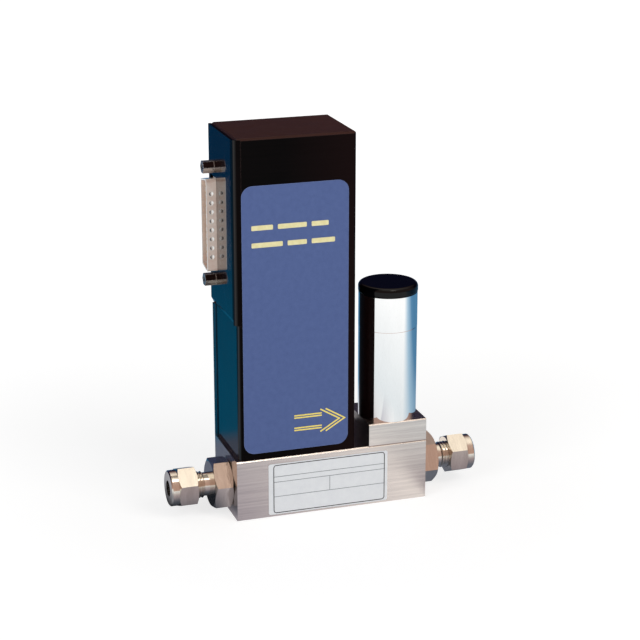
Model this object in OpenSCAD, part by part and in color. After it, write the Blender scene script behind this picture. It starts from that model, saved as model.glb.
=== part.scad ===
// Mass flow controller for gas, with tube fittings at both ends.
// +X is the way the gas flows, +Z is up, and the front with the two labels faces -Y.
// The origin is the middle of the base block's underside, and every size is in millimetres.

/* [Base block] */
// Length of the base block along the flow
block_len = 82.55; // [80:0.05:90]
// Depth of the base block, front to back
block_depth = 34; // [33:0.5:38]
// Height of the base block
block_h = 26; // [25:0.5:30]
// Bevel on the block's long edges
block_bevel = 0.5; // [0.3:0.1:1]
// Height of the flow axis above the underside
flow_z = 12.5; // [11.8:0.1:13]
// Distance from the block's front face to the flow axis
flow_depth = 14.2; // [14:0.1:16]
// Distance from a block end to its mounting holes
mount_end = 12.7; // [12:0.1:14]
// Distance from the block's front or rear face to its mounting holes
mount_edge = 4.3; // [4:0.1:5]
// Radius of the underside mounting holes, for an M4 thread
mount_hole_r = 1.65; // [1.5:0.05:1.8]
// Depth of the underside mounting holes
mount_hole_depth = 8; // [6:0.5:10]

/* [Housing] */
// Distance from the block's inlet end to the housing's side wall
housing_inset = 1.2; // [1:0.1:1.6]
// Gap between the housing and the valve block
valve_gap = 5.95; // [5:0.05:7]
// Distance from the block's front face to the housing's front face
housing_setback = 0.4; // [0.3:0.1:1]
// Height of the housing above the block
housing_h = 134; // [126:1:142]
// Thickness of the housing walls
wall = 2; // [1.8:0.1:2.2]
// Corner radius at the housing's front corner on the inlet side
corner_r = 2.2; // [2:0.1:2.6]
// Corner radius at the housing's other corners
corner_r_right = 1.7; // [1:0.1:2]
// Bevel around the housing's top
top_bevel = 0.8; // [0.4:0.1:1]
// How far the rear wall laps down behind the block
rear_lap = 12.5; // [11:0.5:14]

/* [Connector plate] */
// Thickness of the connector plate
plate_t = 1.2; // [1:0.1:1.4]
// Height of the connector plate
plate_h = 75.5; // [74:0.5:77]
// Height of the sloping lower edge of the plate
plate_slope = 2.4; // [1.5:0.1:3]
// Distance from the housing's top to the connector's middle
dsub_drop = 40.4; // [39:0.2:42]
// Distance from the block's rear face to the connector's middle
dsub_rear = 4.4; // [4.2:0.1:4.6]
// Length of the connector shell
shell_len = 38.96; // [38.5:0.02:39.4]
// Width of the connector shell
shell_w = 8.36; // [8.2:0.02:8.5]
// How far the shell stands out of the plate
shell_out = 4.1; // [3.6:0.1:4.8]
// Distance from the end of the connector shell to the jackscrew beside it
jack_step = 4.04; // [4:0.01:4.2]
// Size across the flats of a jackscrew
jack_af = 4.76; // [4.5:0.02:5]
// How far a jackscrew stands out of the plate
jack_out = 4.6; // [4:0.1:5.2]

/* [Labels] */
// Distance from the front label to the housing's valve side
front_label_side = 3.4; // [3:0.1:5]
// Distance from the front label to the housing's top
front_label_top = 19; // [18:0.1:21]
// Corner radius of the front label
front_label_r = 4.5; // [2:0.5:6]
// Height of the front label's lower edge above the block
front_label_z = 2.9; // [2.5:0.1:4]
// Width of the rating label
rating_w = 51.9; // [46:0.1:54]
// Height of the rating label
rating_h = 22.4; // [21:0.1:22.8]
// Thickness of the labels
label_t = 0.15; // [0.1:0.01:0.25]
// Thickness of the print on the labels
print_t = 0.04; // [0.03:0.01:0.08]

/* [Valve] */
// Outer diameter of the valve body
valve_d = 24.5; // [24:0.1:25.4]
// Distance from the block's outlet end to the valve axis
valve_inset = 13.2; // [12.7:0.1:14]
// Distance from the block's front face to the valve axis
valve_depth = 12.4; // [12.3:0.1:13.5]
// Length of the valve block along the flow
valve_block_w = 25.4; // [25:0.1:26.4]
// Depth of the valve block, front to back
valve_block_depth = 27.5; // [27:0.1:29]
// Height of the valve block
valve_block_h = 9.6; // [9:0.1:11]
// Height of the lower valve sleeve
sleeve_lower_h = 39.2; // [38:0.2:42]
// Height of the upper valve sleeve
sleeve_upper_h = 14.5; // [13:0.1:18]
// Diameter of the valve cap
cap_d = 24.9; // [24.8:0.1:26]
// Height of the valve cap
cap_h = 4; // [3.5:0.1:5]
// Radius of the cap's upper rim
cap_rim = 1.7; // [1:0.1:2]
// Radius of the cap's lower rim
cap_foot = 0.8; // [0.4:0.1:1]
// Greatest lift of the plunger off its seat
plunger_lift = 0.6; // [0.3:0.1:0.7]

/* [Tube fittings] */
// Outer radius of the tube the fittings take
tube_r = 3.175; // [3.1:0.005:3.2]
// Size across the flats of the fitting body
body_af = 19.05; // [18:0.05:19.2]
// Distance from the block end to the outer face of the body's hexagon
body_out = 7.9; // [6.8:0.1:8.5]
// Size across the flats of the tube nut
nut_af = 15.2; // [14.2:0.1:16]
// Distance from the block end to the inner face of the nut
nut_start = 14.3; // [13.6:0.1:15]
// Length of the nut's hexagon
nut_hex_len = 8.1; // [8:0.1:9]
// Length of the nut's round collar
nut_collar_len = 3.2; // [3:0.1:3.6]
// Diameter of the nut's round collar
nut_collar_d = 15; // [14:0.1:15.8]

/* [Hidden] */
$fn = 64;
// clearances
fit_gap = 0.1;
slide_gap = 0.05;
tube_gap = 0.075;
// base block places
x_in = -block_len / 2;
x_out = block_len / 2;
y_front = -block_depth / 2;
y_back = block_depth / 2;
y_flow = y_front + flow_depth;
block_top = block_h;
port_r = 6.4;
port_depth = 10;
seal_wire = 0.8;
seal_mid_r = 7.15;
seal_pocket = 2 * seal_wire;
seal_pocket_r = seal_mid_r + seal_wire + slide_gap;
mount_span_x = block_len - 2 * mount_end;
mount_span_y = block_depth - 2 * mount_edge;
passage_r = 2.5;
chamber_r = 5;
outlet_rise_r = 1.5;
// housing width, and sensor places inside it
housing_w = block_len - housing_inset - valve_gap - valve_block_w;
sensor_x = x_in + housing_inset + 0.56 * housing_w;
sensor_base_len = 0.72 * housing_w;
sensor_base_w = 14;
sensor_base_h = 8;
sensor_tap_span = 0.36 * housing_w;
sensor_tap_r = 0.8;
sensor_screw_span = 0.6 * housing_w;
sensor_thread_r = 1.25;
sensor_thread_depth = 6;
sensor_tube_r = 0.45;
sensor_tube_bore = 0.3;
sensor_bend_r = 3;
sensor_rise = 11;
sensor_top = block_top + sensor_base_h;
sensor_cover_w = 11;
sensor_cover_h = 24;
sensor_cover_len = 0.48 * housing_w;
sensor_cover_wall = 1.5;
winding_step = sensor_tap_span / 6;
winding_half = 2.2;
// restrictor between the two sensor taps
restrictor_end = sensor_x + 0.38 * sensor_tap_span;
restrictor_len = 0.72 * sensor_tap_span;
// valve places
x_valve = x_out - valve_inset;
y_valve = y_front + valve_depth;
x_valve_block = x_out - valve_block_w;
feed_offset = 5;
x_feed = x_valve - feed_offset;
feed_r = 1.6;
valve_block_top = block_top + valve_block_h;
valve_chamber_r = 7;
valve_chamber_depth = 6;
chamber_floor = valve_block_top - valve_chamber_depth;
seat_r = 3;
seat_set = 1.5;
seat_top = chamber_floor + seat_set;
sleeve_r = valve_d / 2;
sleeve_in_r = sleeve_r - 1.5;
seam = valve_block_top + sleeve_lower_h;
cap_bottom = seam + sleeve_upper_h;
stem_plate_h = 2.5;
stem_plate_r = sleeve_in_r - 0.3;
stem_r = 5;
plunger_r = 4;
stem_bore_r = plunger_r + slide_gap;
plunger_pad_h = 1.2;
plunger_bottom = seat_top + plunger_pad_h;
plunger_top = valve_block_top + 20;
pole_gap = 0.9;
pole_bottom = plunger_top + pole_gap;
yoke_h = 2.4;
yoke_bottom = seam - yoke_h;
spring_wire_r = 0.3;
spring_r = 2;
spring_pocket_r = 2.6;
spring_pocket_depth = 8;
spring_bottom = plunger_top - spring_pocket_depth;
spring_turns = 7;
bobbin_bottom = valve_block_top + stem_plate_h + fit_gap;
bobbin_top = yoke_bottom - fit_gap;
bobbin_flange = 1.2;
bobbin_r = stem_r + fit_gap;
winding_r = 10.2;
// valve block screws
block_screw_span = 16;
block_screw_xs = [x_valve - block_screw_span / 2, x_valve + block_screw_span / 2];
block_screw_ys = [y_front + 4.75, y_front + valve_block_depth - 4];
block_screw_r = 2;
block_screw_head_r = 3.2;
block_screw_pocket_r = 3.5;
block_screw_pocket = 4.6;
block_screw_bite = 6;
block_screw_head_h = 4;
// seals between base block and valve block
groove_depth = 1;
groove_gap = 0.1;
small_seal_r = 2.3;
large_seal_r = 8.6;
seal_thin = 0.5;
// housing places
hx0 = x_in + housing_inset;
hx1 = hx0 + housing_w;
hy0 = y_front + housing_setback;
hy1 = y_back;
rear_y = y_back + wall;
housing_top = block_top + housing_h;
inner_x0 = hx0 + wall;
inner_x1 = hx1 - wall;
inner_y0 = hy0 + wall;
lap_x0 = x_in + 0.5;
lap_z = block_top - rear_lap;
rear_screw_xs = [x_in + 9, hx1 - 8];
rear_screw_z = block_top - 6.5;
rear_screw_r = 1.5;
rear_screw_head_r = 2.8;
rear_screw_head_h = 1.7;
rear_screw_bite = 6;
// connector plate places
plate_x0 = hx0 - plate_t;
plate_z1 = housing_top - 0.5;
plate_z0 = plate_z1 - plate_h;
wrap_r_in = 2.1;
wrap_r_out = wrap_r_in + plate_t;
wrap_x = hx0 + wrap_r_in;
wrap_y = hy0 + wrap_r_out;
// connector
y_dsub = y_back - dsub_rear;
z_dsub = housing_top - dsub_drop;
jack_span = shell_len + 2 * jack_step;
flange_len = jack_span + 6;
flange_half_w = 6.27;
flange_t = 1;
flange_x = hx0;
shell_t = 0.6;
shell_slant = 0.75;
shell_corner = 1.6;
shell_tip = plate_x0 - shell_out;
pin_pitch = (shell_len - 5.84) / 12;
pin_row = 1.42;
pin_r = 0.5;
pin_recess = 1.2;
tail_r = 0.3;
insulator_x1 = flange_x + 6.5;
dimple_count = 8;
dimple_pitch = (shell_len - 12.6) / (dimple_count - 1);
dimple_r = 1.2;
dimple_depth = 0.4;
jack_shank_r = 1.4;
jack_bore_r = 1.2;
jack_nut_af = 6.35;
jack_nut_h = 2.2;
jack_shank_end = flange_x + flange_t + jack_nut_h + 1;
// main board
board_t = 1.6;
board_y0 = y_dsub - board_t / 2;
board_y1 = y_dsub + board_t / 2;
board_x0 = flange_x + 7;
board_x1 = inner_x1 - 1.5;
board_z0 = block_top + 36;
board_z1 = housing_top - wall - 2.5;
board_w = board_x1 - board_x0;
board_h = board_z1 - board_z0;
chip_w = 0.45 * board_w;
chip_h = 0.075 * board_h;
can_r = 0.08 * board_w;
trimmer_w = 0.18 * board_w;
tail_y = board_t / 2 + tail_r;
tail_end = board_x0 + 3;
standoff_r = 2.5;
standoff_inset = 4.5;
board_screw_r = 1.4;
board_screw_head_r = 2.4;
board_screw_head_h = 1.5;
board_hole_r = 1.6;
// labels
front_label_x0 = hx0 + wrap_r_in;
front_label_w = hx1 - front_label_side - front_label_x0;
front_label_bottom = block_top + front_label_z;
front_label_h = housing_top - front_label_top - front_label_bottom;
rating_x0 = x_in + 13.4;
rating_z0 = 1.1;
rating_r = 0.9;
line_w = 0.35;
// fitting places, measured outward from the block end
spigot_r = 6.3;
spigot_len = 9;
neck_r = 4.9;
neck_end = body_out + 3.2;
thread_r = 5.55;
thread_pitch = 1.27;
body_end = nut_start + 6.4;
socket_r = tube_r + tube_gap;
socket_start = nut_start - 2.1;
body_bore_r = 2.4;
nut_end = nut_start + nut_hex_len + nut_collar_len;
nut_bore_r = 5.65;
mouth_r = 4.75;
mouth_len = 2.4;
nut_ease = 0.65;
body_ease = 0.8;
front_ferrule_end = body_end + 1.5;
back_ferrule_end = front_ferrule_end + 1.4;
ferrule_r = 5.1;
back_ferrule_r = 4.8;
nut_hole_r = tube_r + 0.175;
ferrule_bore_r = tube_r + 0.125;
nose_set = 0.5;
nose_start = body_end - mouth_len + nose_set;
nose_r = socket_r + nose_set * (mouth_r - socket_r) / mouth_len - slide_gap;

// A box given by its low and high corners.
module span(lo, hi) {
  translate(lo)
    cube(hi - lo);
}

// A round bar along X.
module bar_x(r, x0, x1, y, z) {
  translate([x0, y, z])
    rotate([0, 90, 0])
      cylinder(r = r, h = x1 - x0);
}

// A round bar along Y.
module bar_y(r, y0, y1, x, z) {
  translate([x, y1, z])
    rotate([90, 0, 0])
      cylinder(r = r, h = y1 - y0);
}

// A round bar along Z.
module bar_z(r, z0, z1, x, y) {
  translate([x, y, z0])
    cylinder(r = r, h = z1 - z0);
}

// A ring lying flat, its middle at the given height.
module ring_z(mid_r, wire_r, z, x, y) {
  translate([x, y, z])
    rotate_extrude()
      translate([mid_r, 0])
        circle(r = wire_r);
}

// A rectangle from low to high corner, with its upper and its lower corners bevelled.
module bevelled(lo, hi, top, bottom) {
  polygon([[lo[0] + bottom, lo[1]], [hi[0] - bottom, lo[1]], [hi[0], lo[1] + bottom],
           [hi[0], hi[1] - top], [hi[0] - top, hi[1]], [lo[0] + top, hi[1]],
           [lo[0], hi[1] - top], [lo[0], lo[1] + bottom]]);
}

// Draws an outline of Y and Z, and makes it a bar along X.
module along_x(x0, x1) {
  translate([x0, 0, 0])
    rotate([90, 0, 90])
      linear_extrude(height = x1 - x0)
        children();
}

// Draws an outline of X and Z, and makes it a bar along Y.
module along_y(y0, y1) {
  translate([0, y1, 0])
    rotate([90, 0, 0])
      linear_extrude(height = y1 - y0)
        children();
}

// A hexagonal bar along +X with both ends turned to a bevel.
module hex_x(af, x0, x1, turn, ease) {
  corner = af / sqrt(3);
  rotate([0, 90, 0])
    intersection() {
      translate([0, 0, x0])
        rotate([0, 0, turn])
          cylinder(r = corner, h = x1 - x0, $fn = 6);
      translate([0, 0, x0])
        union() {
          cylinder(r1 = corner - 2 * ease, r2 = corner + fit_gap, h = ease + fit_gap / 2);
          translate([0, 0, ease + fit_gap / 2])
            cylinder(r = corner + fit_gap, h = x1 - x0 - 2 * ease - fit_gap);
          translate([0, 0, x1 - x0 - ease - fit_gap / 2])
            cylinder(r1 = corner + fit_gap, r2 = corner - 2 * ease, h = ease + fit_gap / 2);
        }
    }
}

// Puts a fitting, drawn outward along +X from the block end, on the outlet end.
module at_outlet() {
  translate([x_out, y_flow, flow_z])
    children();
}

// The same on the inlet end, pointing the other way.
module at_inlet() {
  translate([x_in, y_flow, flow_z])
    mirror([1, 0, 0])
      children();
}

// The port in a block end: thread bore and pocket for the seal.
module port_cut() {
  bar_x(port_r, -port_depth, 1, 0, 0);
  bar_x(seal_pocket_r, -seal_pocket, 1, 0, 0);
}

module base_block() {
  color([0.72, 0.70, 0.70])
    difference() {
      along_x(x_in, x_out)
        bevelled([y_front, 0], [y_back, block_top], block_bevel, block_bevel);
      at_inlet()
        port_cut();
      at_outlet()
        port_cut();
      // chamber of the flow restrictor, then the passage on to the valve
      bar_x(chamber_r, x_in + port_depth - 1, restrictor_end, y_flow, flow_z);
      bar_x(passage_r, restrictor_end - 1, x_feed + feed_r + 0.4, y_flow, flow_z);
      bar_z(feed_r, flow_z, block_top + 1, x_feed, y_valve);
      // from the valve out to the outlet port
      bar_z(outlet_rise_r, flow_z, block_top + 1, x_valve, y_valve);
      bar_x(passage_r, x_valve - outlet_rise_r - 0.4, x_out - port_depth + 1, y_flow, flow_z);
      // sensor taps
      for (side = [-1, 1])
        bar_z(sensor_tap_r, flow_z, block_top + 1, sensor_x + side * sensor_tap_span / 2, y_flow);
      // sensor base threads
      for (side = [-1, 1])
        bar_z(sensor_thread_r, block_top - sensor_thread_depth, block_top + 1,
              sensor_x + side * sensor_screw_span / 2, y_flow);
      // grooves for the seals under the valve block
      groove(small_seal_r);
      groove(large_seal_r);
      // screws up into the valve block
      for (x = block_screw_xs, y = block_screw_ys) {
        bar_z(block_screw_r + fit_gap, -1, block_top + 1, x, y);
        bar_z(block_screw_pocket_r, -1, block_screw_pocket, x, y);
      }
      // rear cover screws
      for (x = rear_screw_xs)
        bar_y(rear_screw_r + slide_gap, y_back - rear_screw_bite - 1, y_back + 1, x, rear_screw_z);
      // mounting holes in the underside
      for (sx = [-1, 1], sy = [-1, 1])
        bar_z(mount_hole_r, -1, mount_hole_depth, sx * mount_span_x / 2, sy * mount_span_y / 2);
    }
}

// A flat groove for a seal ring round the valve axis.
module groove(mid_r) {
  translate([x_valve, y_valve, block_top - groove_depth])
    difference() {
      cylinder(r = mid_r + seal_thin + groove_gap, h = groove_depth + 1);
      translate([0, 0, -1])
        cylinder(r = mid_r - seal_thin - groove_gap, h = groove_depth + 3);
    }
}

module valve_block() {
  color([0.75, 0.74, 0.74])
    difference() {
      along_x(x_valve_block, x_out)
        bevelled([y_front, block_top], [y_front + valve_block_depth, valve_block_top], 0.4, 0.2);
      bar_z(valve_chamber_r, chamber_floor, valve_block_top + 1, x_valve, y_valve);
      bar_z(seat_r + slide_gap, chamber_floor - seat_set, chamber_floor + 1, x_valve, y_valve);
      bar_z(outlet_rise_r, block_top - 1, chamber_floor, x_valve, y_valve);
      bar_z(feed_r, block_top - 1, chamber_floor + 1, x_feed, y_valve);
      // groove for the stem seal
      translate([x_valve, y_valve, valve_block_top - groove_depth])
        difference() {
          cylinder(r = large_seal_r + seal_thin + groove_gap, h = 2);
          translate([0, 0, -1])
            cylinder(r = large_seal_r - seal_thin - groove_gap, h = 4);
        }
      for (x = block_screw_xs, y = block_screw_ys)
        bar_z(block_screw_r + slide_gap, block_top - 1, block_top + block_screw_bite + 0.5, x, y);
    }
}

module block_screws() {
  color([0.25, 0.25, 0.27])
    for (x = block_screw_xs, y = block_screw_ys)
      difference() {
        union() {
          bar_z(block_screw_r, block_screw_pocket, block_top + block_screw_bite, x, y);
          bar_z(block_screw_head_r, block_screw_pocket - block_screw_head_h,
                block_screw_pocket, x, y);
        }
        translate([x, y, 0])
          cylinder(r = 1.75, h = block_screw_pocket - 1.6, $fn = 6);
      }
}

module block_seals() {
  color([0.1, 0.1, 0.1]) {
    ring_z(small_seal_r, seal_thin, block_top - groove_depth / 2, x_valve, y_valve);
    ring_z(large_seal_r, seal_thin, block_top - groove_depth / 2, x_valve, y_valve);
  }
}

// The fitting body: spigot in the block, hexagon, neck, thread and tube socket.
module fitting_body(turn) {
  difference() {
    union() {
      bar_x(spigot_r, -spigot_len, 1, 0, 0);
      hex_x(body_af, 0, body_out, turn, body_ease);
      bar_x(neck_r, body_out - 1, body_end, 0, 0);
      // the thread, as rings
      for (x = [neck_end : thread_pitch : body_end - thread_pitch])
        translate([x, 0, 0])
          rotate([0, 90, 0]) {
            cylinder(r1 = neck_r, r2 = thread_r, h = thread_pitch * 0.4);
            translate([0, 0, thread_pitch * 0.4])
              cylinder(r = thread_r, h = thread_pitch * 0.15);
            translate([0, 0, thread_pitch * 0.55])
              cylinder(r1 = thread_r, r2 = neck_r, h = thread_pitch * 0.4);
          }
    }
    bar_x(body_bore_r, -spigot_len - 1, body_end + 1, 0, 0);
    bar_x(socket_r, socket_start, body_end + 1, 0, 0);
    translate([body_end - mouth_len, 0, 0])
      rotate([0, 90, 0])
        cylinder(r1 = socket_r, r2 = mouth_r, h = mouth_len);
    translate([body_end - fit_gap / 2, 0, 0])
      rotate([0, 90, 0])
        cylinder(r = mouth_r, h = 1);
  }
}

// The nut: hexagon on the inside, round collar at the outer end.
module fitting_nut(turn) {
  difference() {
    union() {
      hex_x(nut_af, nut_start, nut_start + nut_hex_len, turn, nut_ease);
      bar_x(nut_collar_d / 2, nut_start + nut_hex_len - 1, nut_end - 0.5, 0, 0);
      translate([nut_end - 0.5, 0, 0])
        rotate([0, 90, 0])
          cylinder(r1 = nut_collar_d / 2, r2 = nut_collar_d / 2 - 0.5, h = 0.5);
    }
    bar_x(nut_bore_r, nut_start - 1, front_ferrule_end, 0, 0);
    bar_x(back_ferrule_r + fit_gap, front_ferrule_end - 1, back_ferrule_end, 0, 0);
    bar_x(nut_hole_r, nut_start, nut_end + 1, 0, 0);
  }
}

// The front ferrule: a cone that enters the body's mouth.
module front_ferrule() {
  difference() {
    union() {
      translate([nose_start, 0, 0])
        rotate([0, 90, 0])
          cylinder(r1 = nose_r, r2 = mouth_r - slide_gap, h = body_end - nose_start);
      bar_x(ferrule_r, body_end, front_ferrule_end, 0, 0);
    }
    bar_x(ferrule_bore_r, body_end - mouth_len - 1, front_ferrule_end + 1, 0, 0);
  }
}

// The back ferrule: a ring between front ferrule and nut.
module back_ferrule() {
  difference() {
    bar_x(back_ferrule_r, front_ferrule_end, back_ferrule_end, 0, 0);
    bar_x(ferrule_bore_r, front_ferrule_end - 1, back_ferrule_end + 1, 0, 0);
  }
}

module inlet_body() {
  color([0.80, 0.76, 0.70])
    at_inlet()
      fitting_body(22);
}

module inlet_nut() {
  color([0.82, 0.78, 0.72])
    at_inlet()
      fitting_nut(10);
}

module inlet_front_ferrule() {
  color([0.7, 0.7, 0.7])
    at_inlet()
      front_ferrule();
}

module inlet_back_ferrule() {
  color([0.7, 0.7, 0.7])
    at_inlet()
      back_ferrule();
}

module outlet_body() {
  color([0.80, 0.76, 0.70])
    at_outlet()
      fitting_body(42);
}

module outlet_nut() {
  color([0.82, 0.78, 0.72])
    at_outlet()
      fitting_nut(5);
}

module outlet_front_ferrule() {
  color([0.7, 0.7, 0.7])
    at_outlet()
      front_ferrule();
}

module outlet_back_ferrule() {
  color([0.7, 0.7, 0.7])
    at_outlet()
      back_ferrule();
}

// One seal ring round the root of each spigot.
module fitting_seals() {
  color([0.08, 0.08, 0.08]) {
    at_inlet()
      rotate([0, 90, 0])
        ring_z(seal_mid_r, seal_wire, -seal_wire, 0, 0);
    at_outlet()
      rotate([0, 90, 0])
        ring_z(seal_mid_r, seal_wire, -seal_wire, 0, 0);
  }
}

// A sintered disc that the inlet spigot clamps in the bottom of its port.
module inlet_screen() {
  color([0.6, 0.58, 0.52])
    bar_x(spigot_r, x_in + spigot_len, x_in + port_depth, y_flow, flow_z);
}

// A plug with flats along it that makes part of the flow take the sensor path.
module flow_restrictor() {
  color([0.7, 0.7, 0.72])
    difference() {
      bar_x(chamber_r - fit_gap, restrictor_end - restrictor_len, restrictor_end, y_flow, flow_z);
      for (turn = [0 : 60 : 300])
        translate([restrictor_end - restrictor_len - 1, y_flow, flow_z])
          rotate([turn, 0, 0])
            translate([0, -0.3, 2])
              cube([restrictor_len + 2, 0.6, chamber_r]);
    }
}

module sensor_base() {
  color([0.74, 0.74, 0.75])
    difference() {
      span([sensor_x - sensor_base_len / 2, y_flow - sensor_base_w / 2, block_top],
           [sensor_x + sensor_base_len / 2, y_flow + sensor_base_w / 2, sensor_top]);
      for (side = [-1, 1]) {
        bar_z(sensor_tube_r + slide_gap, block_top - 1, sensor_top + 1,
              sensor_x + side * sensor_tap_span / 2, y_flow);
        bar_z(2.2, block_top - 1, block_top + 0.9, sensor_x + side * sensor_tap_span / 2, y_flow);
        bar_z(1.6, block_top - 1, sensor_top + 1, sensor_x + side * sensor_screw_span / 2, y_flow);
      }
    }
}

// A seal ring round each sensor tap.
module sensor_seals() {
  color([0.1, 0.1, 0.1])
    for (side = [-1, 1])
      ring_z(1.5, 0.45, block_top + 0.45, sensor_x + side * sensor_tap_span / 2, y_flow);
}

// The thin sensor tube: two legs, two bends and a level run.
module sensor_tube() {
  leg = sensor_tap_span / 2;
  bend_z = sensor_top + sensor_rise - sensor_bend_r;
  color([0.85, 0.85, 0.86])
    translate([sensor_x, y_flow, 0])
      difference() {
        union() {
          for (side = [-1, 1])
            bar_z(sensor_tube_r, block_top + 0.2, bend_z, side * leg, 0);
          tube_bends(leg, bend_z, sensor_tube_r);
          bar_x(sensor_tube_r, -leg + sensor_bend_r, leg - sensor_bend_r, 0,
                sensor_top + sensor_rise);
        }
        for (side = [-1, 1])
          bar_z(sensor_tube_bore, block_top, bend_z, side * leg, 0);
        tube_bends(leg, bend_z, sensor_tube_bore);
        bar_x(sensor_tube_bore, -leg + sensor_bend_r, leg - sensor_bend_r, 0,
              sensor_top + sensor_rise);
      }
}

// The two quarter bends of the sensor tube.
module tube_bends(leg, z, r) {
  translate([leg - sensor_bend_r, 0, z])
    rotate([90, 0, 0])
      rotate_extrude(angle = 90)
        translate([sensor_bend_r, 0])
          circle(r = r);
  translate([-leg + sensor_bend_r, 0, z])
    rotate([90, 0, 180])
      rotate_extrude(angle = 90)
        translate([sensor_bend_r, 0])
          circle(r = r);
}

// Two heater windings on the level run.
module sensor_windings() {
  color([0.75, 0.42, 0.22])
    for (side = [-1, 1])
      translate([side * winding_step + sensor_x, 0, 0])
        difference() {
          bar_x(1, -winding_half, winding_half, y_flow, sensor_top + sensor_rise);
          bar_x(sensor_tube_r, -winding_half - 1, winding_half + 1, y_flow,
                sensor_top + sensor_rise);
        }
}

module sensor_cover() {
  color([0.3, 0.3, 0.32])
    difference() {
      span([sensor_x - sensor_cover_len / 2, y_flow - sensor_cover_w / 2, sensor_top],
           [sensor_x + sensor_cover_len / 2, y_flow + sensor_cover_w / 2,
            sensor_top + sensor_cover_h]);
      span([sensor_x - sensor_cover_len / 2 + sensor_cover_wall,
            y_flow - sensor_cover_w / 2 + sensor_cover_wall, sensor_top - 1],
           [sensor_x + sensor_cover_len / 2 - sensor_cover_wall,
            y_flow + sensor_cover_w / 2 - sensor_cover_wall,
            sensor_top + sensor_cover_h - sensor_cover_wall]);
    }
}

module sensor_screws() {
  color([0.7, 0.7, 0.72])
    for (side = [-1, 1])
      translate([sensor_x + side * sensor_screw_span / 2, y_flow, 0])
        difference() {
          union() {
            bar_z(1.2, block_top - 5, sensor_top, 0, 0);
            bar_z(2.4, sensor_top, sensor_top + 2.4, 0, 0);
          }
          translate([0, 0, sensor_top + 1])
            cylinder(r = 1.2, h = 2, $fn = 6);
        }
}

// The housing's outline, seen from above.
module housing_outline() {
  difference() {
    translate([hx0, hy0])
      square([housing_w, rear_y - hy0]);
    translate([hx0, hy0])
      corner_cut(corner_r);
    translate([hx1, hy0])
      rotate(90)
        corner_cut(corner_r_right);
    translate([hx1, rear_y])
      rotate(180)
        corner_cut(corner_r_right);
  }
}

// What rounding takes off a corner that points to -X -Y.
module corner_cut(r) {
  difference() {
    translate([-1, -1])
      square([r + 1, r + 1]);
    translate([r, r])
      circle(r = r);
  }
}

module housing_cover() {
  color([0.12, 0.10, 0.12])
    difference() {
      union() {
        intersection() {
          translate([0, 0, block_top])
            linear_extrude(height = housing_h)
              housing_outline();
          along_x(hx0 - 1, hx1 + 1)
            bevelled([hy0, block_top - 1], [rear_y, housing_top], top_bevel, 0);
          along_y(hy0 - 1, rear_y + 1)
            bevelled([hx0, block_top - 1], [hx1, housing_top], top_bevel, 0);
        }
        // the rear wall laps down behind the block
        span([lap_x0, y_back, lap_z], [hx1, rear_y, block_top + 1]);
        span([lap_x0, y_back, block_top], [hx0 + 1, rear_y, plate_z0]);
      }
      // hollow, open at the bottom
      span([inner_x0, inner_y0, block_top - 1], [inner_x1, y_back, housing_top - wall]);
      // room for the wrapped corner of the connector plate
      difference() {
        span([hx0 - 1, hy0 - 1, plate_z0], [wrap_x, wrap_y, plate_z1]);
        bar_z(wrap_r_in - 0.02, plate_z0 - 1, plate_z1 + 1, wrap_x, wrap_y);
      }
      // window behind the connector
      span([hx0 - 1, y_dsub - flange_half_w - 0.2, z_dsub - flange_len / 2 - 0.9],
           [inner_x0 + 1, y_back, z_dsub + flange_len / 2 + 0.9]);
      for (x = rear_screw_xs)
        bar_y(rear_screw_r + fit_gap, y_back - 1, rear_y + 1, x, rear_screw_z);
    }
}

module rear_screws() {
  color([0.7, 0.7, 0.72])
    for (x = rear_screw_xs)
      difference() {
        union() {
          bar_y(rear_screw_r, y_back - rear_screw_bite, rear_y, x, rear_screw_z);
          bar_y(rear_screw_head_r, rear_y, rear_y + rear_screw_head_h, x, rear_screw_z);
        }
        for (turn = [0, 90])
          translate([x, rear_y + rear_screw_head_h, rear_screw_z])
            rotate([0, turn, 0])
              cube([3.2, 1.6, 0.6], center = true);
      }
}

// The side plate that carries the connector; it wraps the front corner.
module connector_plate() {
  color([0.05, 0.16, 0.22])
    difference() {
      translate([0, 0, plate_z0])
        linear_extrude(height = plate_z1 - plate_z0)
          union() {
            translate([plate_x0, wrap_y])
              square([plate_t, rear_y - wrap_y]);
            difference() {
              intersection() {
                translate([plate_x0, hy0])
                  square([wrap_r_out, wrap_r_out]);
                translate([wrap_x, wrap_y])
                  circle(r = wrap_r_out);
              }
              translate([wrap_x, wrap_y])
                circle(r = wrap_r_in);
            }
          }
      // the sloping lower edge
      translate([plate_x0, rear_y + 1, plate_z0])
        rotate([90, 0, 0])
          linear_extrude(height = rear_y - wrap_y + 2)
            polygon([[-1, -1], [plate_t, -1], [plate_t, 0], [0, plate_slope], [-1, plate_slope]]);
      // opening for the connector shell
      span([plate_x0 - 1, y_dsub - shell_w / 2 - 0.15, z_dsub - shell_len / 2 - 0.15],
           [hx0 + 1, y_dsub + shell_w / 2 + 0.15, z_dsub + shell_len / 2 + 0.15]);
      for (side = [-1, 1])
        bar_x(jack_shank_r + 0.15, plate_x0 - 1, hx0 + 1, y_dsub, z_dsub + side * jack_span / 2);
    }
}

// The D-shaped outline of the connector, long side to the front.
module d_outline(inset) {
  half_l = shell_len / 2 - inset;
  half_w = shell_w / 2 - inset;
  r = shell_corner - inset;
  difference() {
    polygon([[-half_w, -half_l], [half_w, -half_l + 2 * shell_slant],
             [half_w, half_l - 2 * shell_slant], [-half_w, half_l]]);
    for (side = [-1, 1])
      translate([-half_w, side * half_l])
        rotate(side > 0 ? -90 : 0)
          corner_cut(r);
  }
}

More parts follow.
